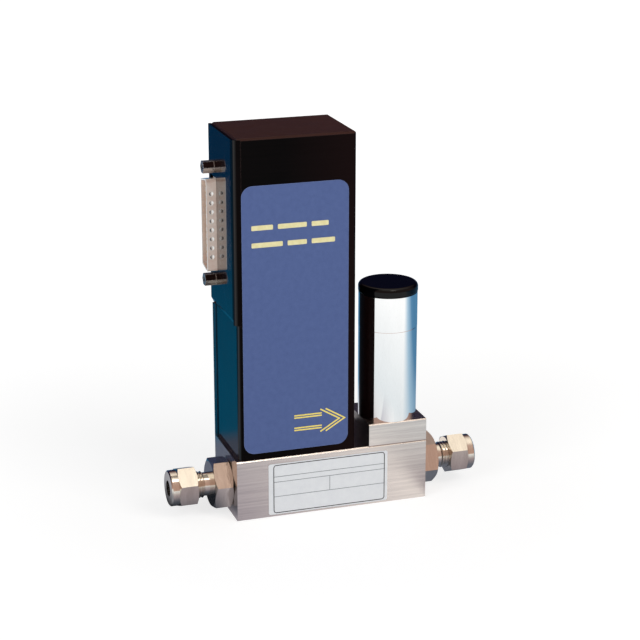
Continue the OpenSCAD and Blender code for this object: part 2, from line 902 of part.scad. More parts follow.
module dsub_shell() {
  color([0.75, 0.75, 0.72])
    difference() {
      union() {
        span([flange_x, y_dsub - flange_half_w, z_dsub - flange_len / 2],
             [flange_x + flange_t, y_back, z_dsub + flange_len / 2]);
        translate([shell_tip, y_dsub, z_dsub])
          rotate([90, 0, 90])
            linear_extrude(height = flange_x - shell_tip)
              d_outline(0);
      }
      translate([shell_tip - 1, y_dsub, z_dsub])
        rotate([90, 0, 90])
          linear_extrude(height = flange_x - shell_tip + flange_t + 2)
            d_outline(shell_t);
      for (side = [-1, 1])
        bar_x(jack_shank_r + 0.15, flange_x - 1, flange_x + flange_t + 1,
              y_dsub, z_dsub + side * jack_span / 2);
      // spring dimples along the front side
      for (i = [0 : dimple_count - 1])
        translate([(shell_tip + plate_x0) / 2, y_dsub - shell_w / 2 - dimple_r + dimple_depth,
                   z_dsub + (i - (dimple_count - 1) / 2) * dimple_pitch])
          sphere(r = dimple_r);
    }
}

module dsub_insulator() {
  color([0.06, 0.06, 0.07])
    difference() {
      union() {
        translate([plate_x0, y_dsub, z_dsub])
          rotate([90, 0, 90])
            linear_extrude(height = flange_x + flange_t - plate_x0 + 1)
              d_outline(shell_t + slide_gap);
        span([flange_x + flange_t, y_dsub - shell_w / 2 + 0.3, z_dsub - shell_len / 2 + 0.3],
             [insulator_x1, y_dsub + shell_w / 2 - 0.3, z_dsub + shell_len / 2 - 0.3]);
      }
      pin_places()
        bar_x(pin_r, shell_tip, insulator_x1 - 1, 0, 0);
      pin_places()
        bar_x(tail_r, shell_tip, insulator_x1 + 1, 0, 0);
    }
}

// Thirteen places in the front row, twelve in the back row.
module pin_places() {
  for (i = [0 : 12])
    translate([0, y_dsub - pin_row, z_dsub + (i - 6) * pin_pitch])
      children();
  for (i = [0 : 11])
    translate([0, y_dsub + pin_row, z_dsub + (i - 5.5) * pin_pitch])
      children();
}

module dsub_pins() {
  color([0.85, 0.7, 0.35])
    pin_places() {
      bar_x(pin_r, shell_tip + pin_recess, insulator_x1 - 1, 0, 0);
      bar_x(tail_r, insulator_x1 - 1.2, tail_end, 0, 0);
    }
}

module jackscrews() {
  color([0.72, 0.72, 0.7])
    for (side = [-1, 1])
      translate([0, y_dsub, z_dsub + side * jack_span / 2])
        difference() {
          union() {
            translate([plate_x0 - jack_out, 0, 0])
              rotate([0, 90, 0])
                rotate([0, 0, 30])
                  cylinder(r = jack_af / sqrt(3), h = jack_out, $fn = 6);
            bar_x(jack_shank_r, plate_x0 - 1, jack_shank_end, 0, 0);
          }
          bar_x(jack_bore_r, plate_x0 - jack_out - 1, plate_x0 - 0.4, 0, 0);
        }
}

module jack_nuts() {
  color([0.7, 0.7, 0.72])
    for (side = [-1, 1])
      translate([flange_x + flange_t, y_dsub, z_dsub + side * jack_span / 2])
        rotate([0, 90, 0])
          difference() {
            cylinder(r = jack_nut_af / sqrt(3), h = jack_nut_h, $fn = 6);
            translate([0, 0, -1])
              cylinder(r = jack_shank_r + slide_gap, h = jack_nut_h + 2);
          }
}

// Corners of the board, where it is screwed to its standoffs.
module board_corners() {
  for (x = [board_x0 + standoff_inset, board_x1 - standoff_inset],
       z = [board_z0 + standoff_inset, board_z1 - standoff_inset])
    translate([x, 0, z])
      children();
}

module main_board() {
  color([0.05, 0.3, 0.15])
    difference() {
      span([board_x0, board_y0, board_z0], [board_x1, board_y1, board_z1]);
      board_corners()
        bar_y(board_hole_r, board_y0 - 1, board_y1 + 1, 0, 0);
    }
}

module board_standoffs() {
  color([0.7, 0.7, 0.7])
    board_corners()
      difference() {
        bar_y(standoff_r, board_y1, y_back, 0, 0);
        bar_y(board_screw_r + slide_gap, board_y1 - 1, y_back - 0.6, 0, 0);
      }
}

module board_screws() {
  color([0.7, 0.7, 0.72])
    board_corners()
      difference() {
        union() {
          bar_y(board_screw_r, board_y0, y_back - 0.8, 0, 0);
          bar_y(board_screw_head_r, board_y0 - board_screw_head_h, board_y0, 0, 0);
        }
        translate([0, board_y0 - board_screw_head_h, 0])
          cube([2.8, 1.2, 0.5], center = true);
      }
}

// Four packaged chips on the front of the board.
module board_chips() {
  color([0.06, 0.06, 0.06])
    for (i = [0 : 3])
      translate([board_x0 + 0.23 * board_w, board_y0, board_z0 + (0.15 + 0.18 * i) * board_h])
        span([0, -3.2, 0], [chip_w, 0, chip_h]);
}

// Three upright cans on the front of the board.
module board_capacitors() {
  color([0.1, 0.15, 0.3])
    for (i = [0 : 2])
      bar_y(can_r, board_y0 - 10, board_y0, board_x0 + 0.82 * board_w,
            board_z0 + (0.23 + 0.17 * i) * board_h);
}

// Two trimmers near the top of the board, each with its screw slot.
module board_trimmers() {
  color([0.1, 0.3, 0.6])
    for (i = [0, 1])
      translate([board_x0 + (0.23 + 0.23 * i) * board_w, board_y0, board_z0 + 0.83 * board_h])
        difference() {
          span([0, -6, 0], [trimmer_w, 0, trimmer_w]);
          span([0.3 * trimmer_w, -7, 0.45 * trimmer_w], [0.7 * trimmer_w, -5.4, 0.55 * trimmer_w]);
        }
}

// A sheet with round corners, standing on the XZ plane, its back at y.
module sheet(x0, z0, w, h, r, y, t) {
  translate([x0, y, z0])
    rotate([90, 0, 0])
      linear_extrude(height = t)
        difference() {
          square([w, h]);
          corner_cut(r);
          translate([w, 0])
            rotate(90)
              corner_cut(r);
          translate([w, h])
            rotate(180)
              corner_cut(r);
          translate([0, h])
            rotate(270)
              corner_cut(r);
        }
}

module front_label() {
  color([0.28, 0.36, 0.60])
    sheet(front_label_x0, front_label_bottom, front_label_w, front_label_h, front_label_r,
          hy0, label_t);
}

// A flat stroke of the arrow, from one place to another, as a thin bar.
module stroke(from, to, w) {
  run = to - from;
  translate(from)
    rotate(atan2(run[1], run[0]))
      translate([0, -w / 2])
        square([norm(run), w]);
}

// The double-line flow arrow, pointing to the outlet; k sets its size.
module arrow_shape(k) {
  for (z = [0, 5.4]) {
    stroke([0, z - 0.5] * k, [11.8, z - 0.5] * k, line_w);
    stroke([0, z + 0.5] * k, [11.8, z + 0.5] * k, line_w);
  }
  for (shift = [0, 2.3]) {
    stroke([11.2 + shift, 7.6] * k, [19.4 + shift, 2.7] * k, line_w);
    stroke([11.2 + shift, -2.2] * k, [19.4 + shift, 2.7] * k, line_w);
  }
}

// A row of short bars that stands in the place of a line of print.
module bars(lengths, gap, h, i = 0, x = 0) {
  if (i < len(lengths)) {
    translate([x, 0])
      square([lengths[i], h]);
    bars(lengths, gap, h, i + 1, x + lengths[i] + gap);
  }
}

// Puts flat print on a sheet whose front is at y.
module print_at(x, z, y) {
  translate([x, y, z])
    rotate([90, 0, 0])
      linear_extrude(height = print_t)
        children();
}

module front_print() {
  y = hy0 - label_t;
  w = front_label_w;
  color([0.9, 0.88, 0.66]) {
    print_at(front_label_x0 + 0.48 * w, front_label_bottom + 0.077 * front_label_h, y)
      arrow_shape(w / 44.5);
    print_at(front_label_x0 + 0.09 * w, front_label_bottom + 0.839 * front_label_h, y)
      bars([0.2 * w, 0.27 * w, 0.16 * w], 0.045 * w, 0.045 * w);
    print_at(front_label_x0 + 0.09 * w, front_label_bottom + 0.776 * front_label_h, y)
      bars([0.29 * w, 0.18 * w, 0.22 * w], 0.045 * w, 0.045 * w);
  }
}

module rating_label() {
  color([0.9, 0.92, 0.93])
    sheet(rating_x0, rating_z0, rating_w, rating_h, rating_r, y_front, label_t);
}

module rating_print() {
  y = y_front - label_t;
  frame_w = rating_w - 3.2;
  frame_h = rating_h - 1.6;
  rule_zs = [0.34, 0.64, 0.75];
  color([0.25, 0.27, 0.32])
    print_at(rating_x0 + 2, rating_z0 + 0.8, y) {
      difference() {
        square([frame_w, frame_h]);
        translate([line_w, line_w])
          square([frame_w - 2 * line_w, frame_h - 2 * line_w]);
      }
      for (share = rule_zs)
        translate([line_w / 2, share * frame_h])
          square([frame_w - line_w, line_w]);
      translate([frame_w / 2, 0.34 * frame_h])
        square([line_w, 0.3 * frame_h]);
    }
}

// The seat: a small nozzle in the chamber floor.
module valve_seat() {
  color([0.78, 0.76, 0.74])
    difference() {
      union() {
        bar_z(seat_r, chamber_floor - seat_set, chamber_floor + 0.5, x_valve, y_valve);
        bar_z(1.5, chamber_floor, seat_top, x_valve, y_valve);
      }
      bar_z(0.5, chamber_floor - seat_set - 1, seat_top + 1, x_valve, y_valve);
    }
}

module plunger_pad() {
  color([0.12, 0.12, 0.12])
    bar_z(plunger_r - 0.6, seat_top, plunger_bottom, x_valve, y_valve);
}

module valve_plunger() {
  color([0.7, 0.7, 0.72])
    difference() {
      bar_z(plunger_r, plunger_bottom, plunger_top, x_valve, y_valve);
      bar_z(spring_pocket_r, spring_bottom, plunger_top + 1, x_valve, y_valve);
      // two flats that let the gas past
      for (side = [-1, 1])
        span([x_valve - plunger_r, y_valve + side * plunger_r - 0.6, plunger_bottom - 1],
             [x_valve + plunger_r, y_valve + side * plunger_r + 0.6, spring_bottom - 1]);
    }
}

// The spring that holds the plunger on its seat, as a coil between two closed end turns.
module plunger_spring() {
  length = pole_bottom - spring_bottom;
  color([0.8, 0.8, 0.8])
    translate([x_valve, y_valve, spring_bottom]) {
      translate([0, 0, spring_wire_r])
        rotate_extrude($fn = 32)
          translate([spring_r, 0])
            circle(r = spring_wire_r, $fn = 8);
      translate([0, 0, length - spring_wire_r])
        rotate_extrude($fn = 32)
          translate([spring_r, 0])
            circle(r = spring_wire_r, $fn = 8);
      translate([0, 0, spring_wire_r])
        linear_extrude(height = length - 2 * spring_wire_r, twist = -360 * spring_turns,
                       slices = 24 * spring_turns, $fn = 8)
          translate([spring_r, 0])
            circle(r = spring_wire_r, $fn = 8);
    }
}

// The thin-walled stem that seals the gas in and guides the plunger.
module valve_stem() {
  color([0.76, 0.76, 0.78])
    difference() {
      union() {
        bar_z(stem_plate_r, valve_block_top, valve_block_top + stem_plate_h, x_valve, y_valve);
        bar_z(valve_chamber_r - fit_gap, valve_block_top - 3, valve_block_top + 1,
              x_valve, y_valve);
        bar_z(stem_r, valve_block_top, yoke_bottom, x_valve, y_valve);
      }
      bar_z(stem_bore_r, valve_block_top - 4, yoke_bottom + 1, x_valve, y_valve);
    }
}

module stem_seal() {
  color([0.1, 0.1, 0.1])
    ring_z(large_seal_r, seal_thin, valve_block_top - groove_depth / 2, x_valve, y_valve);
}

// The fixed pole inside the top of the stem, with a threaded stud for the nut.
module valve_pole() {
  color([0.68, 0.68, 0.7])
    union() {
      bar_z(plunger_r, pole_bottom, yoke_bottom, x_valve, y_valve);
      bar_z(3, yoke_bottom - 1, seam + 6, x_valve, y_valve);
    }
}

module coil_bobbin() {
  color([0.12, 0.12, 0.13])
    difference() {
      union() {
        bar_z(bobbin_r + 1.1, bobbin_bottom, bobbin_top, x_valve, y_valve);
        bar_z(winding_r + 0.4, bobbin_bottom, bobbin_bottom + bobbin_flange, x_valve, y_valve);
        bar_z(winding_r + 0.4, bobbin_top - bobbin_flange, bobbin_top, x_valve, y_valve);
      }
      bar_z(bobbin_r, bobbin_bottom - 1, bobbin_top + 1, x_valve, y_valve);
    }
}

module coil_winding() {
  color([0.72, 0.38, 0.2])
    difference() {
      bar_z(winding_r, bobbin_bottom + bobbin_flange, bobbin_top - bobbin_flange,
            x_valve, y_valve);
      bar_z(bobbin_r + 1.1 + slide_gap, bobbin_bottom, bobbin_top, x_valve, y_valve);
    }
}

// The flux plate that closes the coil at the top.
module valve_yoke() {
  color([0.6, 0.6, 0.62])
    difference() {
      bar_z(sleeve_in_r - fit_gap, yoke_bottom, seam, x_valve, y_valve);
      bar_z(3 + fit_gap, yoke_bottom - 1, seam + 1, x_valve, y_valve);
    }
}

module pole_nut() {
  color([0.7, 0.7, 0.72])
    translate([x_valve, y_valve, seam])
      difference() {
        cylinder(r = 10 / sqrt(3), h = 4, $fn = 6);
        translate([0, 0, -1])
          cylinder(r = 3 + slide_gap, h = 6);
      }
}

// The lower sleeve; a fine groove runs round it just under the seam.
module sleeve_lower() {
  color([0.8, 0.82, 0.85])
    difference() {
      bar_z(sleeve_r, valve_block_top, seam, x_valve, y_valve);
      bar_z(sleeve_in_r, valve_block_top - 1, seam + 1, x_valve, y_valve);
      translate([x_valve, y_valve, seam - 0.3])
        difference() {
          cylinder(r = sleeve_r + 1, h = 1);
          translate([0, 0, -1])
            cylinder(r = sleeve_r - 0.2, h = 3);
        }
    }
}

module sleeve_upper() {
  color([0.8, 0.82, 0.85])
    difference() {
      bar_z(sleeve_r + 0.05, seam, cap_bottom, x_valve, y_valve);
      bar_z(sleeve_in_r - 0.6, seam - 1, cap_bottom + 1, x_valve, y_valve);
    }
}

// The cap: a low lid with rounded rims and a spigot inside the upper sleeve.
module valve_cap() {
  r = cap_d / 2;
  color([0.05, 0.05, 0.06])
    translate([x_valve, y_valve, cap_bottom]) {
      rotate_extrude()
        union() {
          square([r - cap_rim, cap_h]);
          square([r - cap_foot, cap_h - cap_rim]);
          translate([0, cap_foot])
            square([r, cap_h - cap_rim - cap_foot]);
          translate([r - cap_rim, cap_h - cap_rim])
            circle(r = cap_rim);
          translate([r - cap_foot, cap_foot])
            circle(r = cap_foot);
        }
      translate([0, 0, -3])
        cylinder(r = sleeve_in_r - 0.7, h = 4);
    }
}

base_block();
valve_block();
block_screws();
block_seals();
inlet_body();
inlet_nut();
inlet_front_ferrule();
inlet_back_ferrule();
outlet_body();
outlet_nut();
outlet_front_ferrule();
outlet_back_ferrule();
fitting_seals();
inlet_screen();
flow_restrictor();
sensor_base();
sensor_seals();
sensor_tube();
sensor_windings();
sensor_cover();
sensor_screws();
housing_cover();
rear_screws();
connector_plate();
dsub_shell();
dsub_insulator();
dsub_pins();
jackscrews();
jack_nuts();
main_board();
board_standoffs();
board_screws();
board_chips();
board_capacitors();
board_trimmers();
front_label();
front_print();
rating_label();
rating_print();
valve_seat();
valve_plunger();
plunger_pad();
plunger_spring();
valve_stem();
stem_seal();
valve_pole();
coil_bobbin();
coil_winding();
valve_yoke();
pole_nut();
sleeve_lower();
sleeve_upper();
valve_cap();
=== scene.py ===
# %% [markdown]
# # Dressing a mass flow controller
#
# This lesson takes the solids of a small gas instrument and gives them their looks in Blender.
# The solids already have the right shapes and sizes, so nearly all of the work here is in
# materials, light and camera. Each step says what the piece is on the real object, how it could
# be made, and why it is made this way.

# %% Load the solids
import math

import bpy
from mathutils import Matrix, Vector


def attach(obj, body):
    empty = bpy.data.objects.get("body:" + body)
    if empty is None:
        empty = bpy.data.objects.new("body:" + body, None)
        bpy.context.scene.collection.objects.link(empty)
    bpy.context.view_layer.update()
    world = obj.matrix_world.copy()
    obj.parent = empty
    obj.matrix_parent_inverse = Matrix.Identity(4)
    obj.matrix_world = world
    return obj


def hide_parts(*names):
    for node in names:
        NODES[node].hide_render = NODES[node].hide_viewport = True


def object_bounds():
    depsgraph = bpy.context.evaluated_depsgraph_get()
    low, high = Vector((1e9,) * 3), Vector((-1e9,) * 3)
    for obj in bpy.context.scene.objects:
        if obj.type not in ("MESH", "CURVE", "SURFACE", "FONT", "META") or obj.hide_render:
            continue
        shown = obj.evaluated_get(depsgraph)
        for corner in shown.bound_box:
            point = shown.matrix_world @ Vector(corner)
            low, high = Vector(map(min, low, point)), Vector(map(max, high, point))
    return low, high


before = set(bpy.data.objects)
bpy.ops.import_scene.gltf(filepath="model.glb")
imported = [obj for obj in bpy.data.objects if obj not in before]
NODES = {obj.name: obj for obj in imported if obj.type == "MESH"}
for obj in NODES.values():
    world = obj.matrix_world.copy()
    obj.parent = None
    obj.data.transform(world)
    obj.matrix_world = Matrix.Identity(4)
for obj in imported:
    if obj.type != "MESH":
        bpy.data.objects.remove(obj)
cad_low, cad_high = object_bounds()
print("size in mm:", [round(v * 1000, 1) for v in cad_high - cad_low])

# %% [markdown]
# ## Helpers for shader nodes
#
# A material is a small graph. Typing out every node and link hides the idea behind it, so short
# helpers do the typing. They take sockets and plain values alike, and most of them give back a
# socket that the next one can take.

# %% Small tools for building shader graphs
def add(tree, kind, **values):
    """Adds one shader node; keyword names are its settings, or its sockets with _ for a space."""
    n = tree.nodes.new(kind)
    for key, value in values.items():
        label = key.replace("_", " ")
        if label in n.inputs:
            n.inputs[label].default_value = value
        else:
            setattr(n, key, value)
    return n


def join(tree, source, target):
    """Feeds a socket from another socket, from a colour or from a number."""
    if isinstance(source, bpy.types.NodeSocket):
        tree.links.new(source, target)
    elif target.type == "RGBA":
        target.default_value = (*source, 1)
    else:
        target.default_value = source


def fed(tree, node, *values):
    """Feeds the sockets of a node in their order and gives back its first output."""
    for value, socket in zip(values, node.inputs):
        join(tree, value, socket)
    return node.outputs[0]


def maths(tree, kind, *values, clamp=False):
    """One step of arithmetic."""
    return fed(tree, add(tree, "ShaderNodeMath", operation=kind, use_clamp=clamp), *values)


def tinted(tree, source, mask, colour, how="ADD"):
    """Adds a colour, multiplies by it or mixes it in, where the mask is 1."""
    return fed(tree, add(tree, "ShaderNodeMixRGB", blend_type=how), mask, source, colour)


def span(tree, source, start, full):
    """A mask that goes from 0 to 1 while a number goes from start to full."""
    return fed(tree, add(tree, "ShaderNodeMapRange", From_Min=start, From_Max=full), source)


def axes(tree, source):
    """The X, Y and Z of a place or a direction."""
    n = add(tree, "ShaderNodeSeparateXYZ")
    join(tree, source, n.inputs[0])
    return n.outputs


def agreement(tree, a, b):
    """1 where two directions are the same, and less the more they differ."""
    n = add(tree, "ShaderNodeVectorMath", operation="DOT_PRODUCT")
    fed(tree, n, a, b)
    return n.outputs["Value"]


def own_place(tree):
    """The place on the piece, in the piece's own coordinates."""
    return add(tree, "ShaderNodeTexCoord").outputs["Object"]


print("shader helpers ready")

# %% [markdown]
# ## Three effects that many finishes share
#
# Brushed metal, wear along edges, and finger smudges turn up in several finishes; the edge mask
# also carries painted highlights. Each is built once as a node group with named inputs and
# outputs, and every finish sets its own values. A group gives out only numbers; the shader itself
# stays in each material.
#
# Brush strokes are noise that is stretched along an axis. Wear compares the true normal of the
# surface with one that is rounded off over a short reach: they differ only close to an edge.

# %% The brushed grain group
BROAD_SHARE = 0.12


def new_group(name, inputs, outputs):
    """A shader node group with float inputs (name: default) and float outputs."""
    g = bpy.data.node_groups.new(name, "ShaderNodeTree")
    for label, default in inputs.items():
        s = g.interface.new_socket(label, in_out="INPUT", socket_type="NodeSocketFloat")
        s.default_value = default
    for label in outputs:
        g.interface.new_socket(label, in_out="OUTPUT", socket_type="NodeSocketFloat")
    return g, g.nodes.new("NodeGroupInput").outputs, g.nodes.new("NodeGroupOutput").inputs


def brushed_group():
    """Fine and broad strokes. The smaller Run is along an axis, the longer they are there."""
    g, given, out = new_group(
        "brushed_grain", {"Density": 9000.0, "Run X": 0.02, "Run Y": 1.0, "Run Z": 1.0},
        ("Strokes", "Broad"))
    parts = axes(g, own_place(g))
    runs = [maths(g, "MULTIPLY", parts[axis], given["Run " + axis]) for axis in "XYZ"]
    stretched = fed(g, add(g, "ShaderNodeCombineXYZ"), *runs)
    broad_density = maths(g, "MULTIPLY", given["Density"], BROAD_SHARE)
    for label, density, detail, roughness in (("Strokes", given["Density"], 3.0, 0.7),
                                              ("Broad", broad_density, 2.0, 0.6)):
        noise = add(g, "ShaderNodeTexNoise", Detail=detail, Roughness=roughness)
        join(g, stretched, noise.inputs["Vector"])
        join(g, density, noise.inputs["Scale"])
        join(g, noise.outputs["Fac"], out[label])
    return g


BRUSHED = brushed_group()
print("group:", BRUSHED.name)

# %% The edge wear and painted highlight group
EDGE_REACH = 0.0004
WEAR_GRAIN = 900.0
WEAR_SAMPLES = 4


def edge_wear_and_glint_group():
    """A mask that is 1 on sharp edges, for wear and painted highlights. Reach is the line's width
    in metres.
    """
    g, given, out = new_group(
        "edge_wear_and_glint", {"Reach": EDGE_REACH, "Amount": 6.0, "Breakup": 0.5}, ("Mask",))
    rounded_off = add(g, "ShaderNodeBevel", samples=WEAR_SAMPLES)
    join(g, given["Reach"], rounded_off.inputs["Radius"])
    true_normal = add(g, "ShaderNodeNewGeometry").outputs["Normal"]
    turn = maths(g, "SUBTRACT", 1.0, agreement(g, rounded_off.outputs["Normal"], true_normal))
    noise = add(g, "ShaderNodeTexNoise", Scale=WEAR_GRAIN, Detail=3.0)
    join(g, own_place(g), noise.inputs["Vector"])
    broken = maths(g, "MULTIPLY", noise.outputs["Fac"], given["Breakup"])
    strong = maths(g, "MULTIPLY", turn, given["Amount"])
    join(g, maths(g, "SUBTRACT", strong, broken, clamp=True), out["Mask"])
    return g


EDGE_WEAR_AND_GLINT = edge_wear_and_glint_group()
print("group:", EDGE_WEAR_AND_GLINT.name)

# %% The smudge group
CLOUD_SPAN = (0.3, 0.7)


def smudge_group():
    """Soft clouds of handling marks, for small changes of gloss. Size is clouds per metre."""
    g, given, out = new_group("smudges", {"Size": 60.0, "Low": 0.0, "High": 1.0}, ("Value",))
    noise = add(g, "ShaderNodeTexNoise", Detail=4.0, Roughness=0.65, Distortion=0.4)
    join(g, own_place(g), noise.inputs["Vector"])
    join(g, given["Size"], noise.inputs["Scale"])
    spread = add(g, "ShaderNodeMapRange")
    join(g, fed(g, spread, noise.outputs["Fac"], *CLOUD_SPAN, given["Low"], given["High"]),
         out["Value"])
    return g


SMUDGE = smudge_group()
print("group:", SMUDGE.name)

# %% [markdown]
# ## One recipe for a finish
#
# Every finish starts from the same skeleton: a Principled shader, a colour that changes a little
# over the surface, gloss that changes with smudges, and a fine bump. `finish` builds that
# skeleton and gives back its parts, so that each material cell only says what is special, and
# `plain` is for a finish that needs no more than that.

# %% The shared skeleton of a finish
GRAIN_SPAN = (0.7, 1.3)
ROUND_GRAIN = (1.0, 1.0, 1.0)


def use(tree, group, **values):
    """Places a node group in a material and sets its inputs."""
    n = tree.nodes.new("ShaderNodeGroup")
    n.node_tree = group
    for key, value in values.items():
        n.inputs[key.replace("_", " ")].default_value = value
    return n.outputs


def finish(name, dark, light, gloss, metal=0.0, strokes=ROUND_GRAIN, density=9000.0,
           bump=0.15, bump_depth=0.00002, smudge_size=60.0, **constants):
    """A material whose colour runs from dark to light and whose roughness runs over gloss.

    strokes holds the Run along X, Y and Z: the smaller it is, the longer the strokes are.
    Gives back the material, its node tree, its shader and the socket of its colour.
    """
    m = bpy.data.materials.new(name)
    m.use_nodes = True
    t = m.node_tree
    shader = t.nodes["Principled BSDF"]
    shader.inputs["Metallic"].default_value = metal
    for key, value in constants.items():
        shader.inputs[key.replace("_", " ")].default_value = value
    run_x, run_y, run_z = strokes
    grain = use(t, BRUSHED, Density=density, Run_X=run_x, Run_Y=run_y, Run_Z=run_z)
    both = maths(t, "ADD", grain["Strokes"], grain["Broad"])
    colour = tinted(t, dark, span(t, both, *GRAIN_SPAN), light, "MIX")
    join(t, colour, shader.inputs["Base Color"])
    cloud = use(t, SMUDGE, Size=smudge_size, Low=gloss[0], High=gloss[1])
    join(t, cloud["Value"], shader.inputs["Roughness"])
    relief = add(t, "ShaderNodeBump", Strength=bump, Distance=bump_depth)
    join(t, grain["Strokes"], relief.inputs["Height"])
    join(t, relief.outputs["Normal"], shader.inputs["Normal"])
    return m, t, shader, colour


def plain(name, **recipe):
    """A finish with nothing beyond the skeleton."""
    return finish(name, **recipe)[0]


def dress(material, *names):
    """Gives CAD solids a material; their meshes and places stay as they are."""
    for name in names:
        mesh = NODES[name].data
        mesh.materials.clear()
        mesh.materials.append(material)
    print(material.name, "->", ", ".join(names))


print("solids to dress:", len(NODES))

# %% [markdown]
# ## Where something special happens
#
# Some finishes change from place to place on one piece. The edge helper lets another colour show
# along the edges: real wear on some finishes, a painted highlight on others. `facing` is a mask
# made from the way the surface is turned, and `placed` is one made from how far along an axis it
# lies. All of them belong to the piece, so they stay where they are when the view changes.

# %% Edge wear, painted edge highlights and masks
def edge_wear_and_glint(t, source, shader, colour, reach=EDGE_REACH, amount=6.0, breakup=0.5):
    """Lets another colour show along a finish's edges: wear on some, a painted highlight on
    others.
    """
    mask = use(t, EDGE_WEAR_AND_GLINT, Reach=reach, Amount=amount, Breakup=breakup)["Mask"]
    join(t, tinted(t, source, mask, colour, "MIX"), shader.inputs["Base Color"])


def facing(t, axis, start=0.5, full=0.9):
    """A mask from 0 to 1 as the surface turns to face along an axis, such as -X."""
    normal = axes(t, add(t, "ShaderNodeNewGeometry").outputs["Normal"])
    sign = -1 if axis[0] == "-" else 1
    return span(t, normal[axis[-1]], sign * start, sign * full)


def placed(t, axis, start, full):
    """A mask from 0 to 1 as the place on the piece goes along an axis from start to full."""
    return span(t, axes(t, own_place(t))[axis], start, full)


print("worn edges reach in by", EDGE_REACH * 1000, "mm")

# %% [markdown]
# ## Stainless steel
#
# Three kinds of stainless steel show. The base block is brushed along its length, so its strokes
# run along X and its reflections smear across them. The fittings are turned and polished, with a
# warm tone from their surroundings. The valve sleeves are close to a mirror. A picture texture
# could give the brushing, but stretched noise has no seams and stays sharp at any distance.

# %% Base block and valve block: brushed along the flow
ALONG_FLOW = (0.02, 1.0, 1.0)

steel = plain("steel_brushed", dark=(0.57, 0.54, 0.53), light=(0.74, 0.70, 0.67),
              gloss=(0.20, 0.28), metal=1.0, strokes=ALONG_FLOW, bump=0.2)
dress(steel, "base_block", "valve_block")

# %% Tube fittings: polished, faintly turned
fitting = plain("steel_fitting", dark=(0.66, 0.61, 0.55), light=(0.80, 0.75, 0.68),
                gloss=(0.10, 0.18), metal=1.0, strokes=(1.0, 0.1, 0.1), density=5000.0,
                bump=0.06)
dress(fitting, "inlet_body", "inlet_nut", "outlet_body", "outlet_nut")

# %% Valve sleeves: nearly a mirror
mirror_steel = plain("steel_mirror", dark=(0.93, 0.935, 0.94), light=(0.97, 0.975, 0.98),
                     gloss=(0.02, 0.05), metal=1.0, strokes=(1.0, 1.0, 0.2), density=2500.0,
                     bump=0.004)
dress(mirror_steel, "sleeve_lower", "sleeve_upper")

# %% Machined steel inside, and small fasteners
machined = plain("steel_machined", dark=(0.50, 0.50, 0.50), light=(0.68, 0.68, 0.68),
                 gloss=(0.22, 0.36), metal=1.0, strokes=(0.6, 0.6, 0.6), density=4000.0)
dress(machined, "inlet_front_ferrule", "inlet_back_ferrule", "outlet_front_ferrule",
      "outlet_back_ferrule", "flow_restrictor", "sensor_base", "sensor_tube", "sensor_screws",
      "rear_screws", "board_standoffs", "board_screws", "valve_seat", "valve_plunger",
      "plunger_spring", "valve_stem", "valve_pole", "valve_yoke", "pole_nut")

sintered = plain("steel_sintered", dark=(0.30, 0.28, 0.25), light=(0.55, 0.52, 0.46),
                 gloss=(0.5, 0.7), metal=1.0, density=6000.0, bump=0.8, bump_depth=0.0001)
dress(sintered, "inlet_screen")

BARE_STEEL = (0.25, 0.25, 0.26)

black_oxide, t, shader, colour = finish(
    "screw_black_oxide", dark=(0.012, 0.012, 0.014), light=(0.035, 0.035, 0.04),
    gloss=(0.35, 0.5), metal=0.6, density=5000.0, bump=0.2)
edge_wear_and_glint(t, colour, shader, BARE_STEEL)
dress(black_oxide, "block_screws")

# %% [markdown]
# ## The black housing
#
# The tall cover is black anodised aluminium, brushed from side to side. Its top gets a painted
# brown sheen, and toward the right of its front a weaker painted brown reflection. The narrow rim
# at the rear left, which would be a plain black line, gets a painted teal reflection of the wall
# beside it. Along the edges a worn brown shows.
#
# The left side and the plate that holds the connector are smooth and glossy, so they mirror the
# connector. A clear coat does that without making the black itself lighter.

# %% Brushed black cover
# Painted sheen and reflections on the cover: brown on the top and front, teal on the rear-left
# rim.
PAINTED_TOP_SHEEN = (0.050, 0.021, 0.017)
PAINTED_FRONT_REFLECTION = (0.006, 0.0016, 0.0016)
PAINTED_RIM_REFLECTION = (0.001, 0.085, 0.165)
EDGE_BROWN = (0.05, 0.03, 0.028)
TURN_TO_TOP = (0.3, 0.8)
FRONT_REFLECTION_X = (-0.02, 0.012)
RIM_X = (-0.0394, -0.0400)

cover, t, shader, colour = finish(
    "housing_black", dark=(0.0005, 0.0003, 0.0004), light=(0.0016, 0.0009, 0.0011),
    gloss=(0.30, 0.42), strokes=(0.015, 0.3, 1.0), density=6500.0, bump=0.35,
    Specular_IOR_Level=0.04, Coat_Roughness=0.04)
# Painted sheen: faces turned upward are tinted brown.
colour = tinted(t, colour, facing(t, "Z", *TURN_TO_TOP), PAINTED_TOP_SHEEN)
# Painted reflection: the front is tinted brown, more toward the right.
colour = tinted(t, colour, placed(t, "X", *FRONT_REFLECTION_X), PAINTED_FRONT_REFLECTION)
# Painted reflection: the rear-left rim is tinted with the teal that the wall beside it mirrors.
rear_rim = maths(t, "MULTIPLY", placed(t, "X", *RIM_X), facing(t, "-Y"))
colour = tinted(t, colour, rear_rim, PAINTED_RIM_REFLECTION)
edge_wear_and_glint(t, colour, shader, EDGE_BROWN)
join(t, facing(t, "-X"), shader.inputs["Coat Weight"])
dress(cover, "housing_cover", "sensor_cover")

# %% Glossy side plate
plate, t, shader, _ = finish(
    "plate_gloss", dark=(0.0009, 0.0003, 0.0004), light=(0.0018, 0.0005, 0.0007),
    gloss=(0.25, 0.35), density=800.0, bump=0.02, Specular_IOR_Level=0.04, Coat_Roughness=0.03)
join(t, facing(t, "-X"), shader.inputs["Coat Weight"])
dress(plate, "connector_plate")

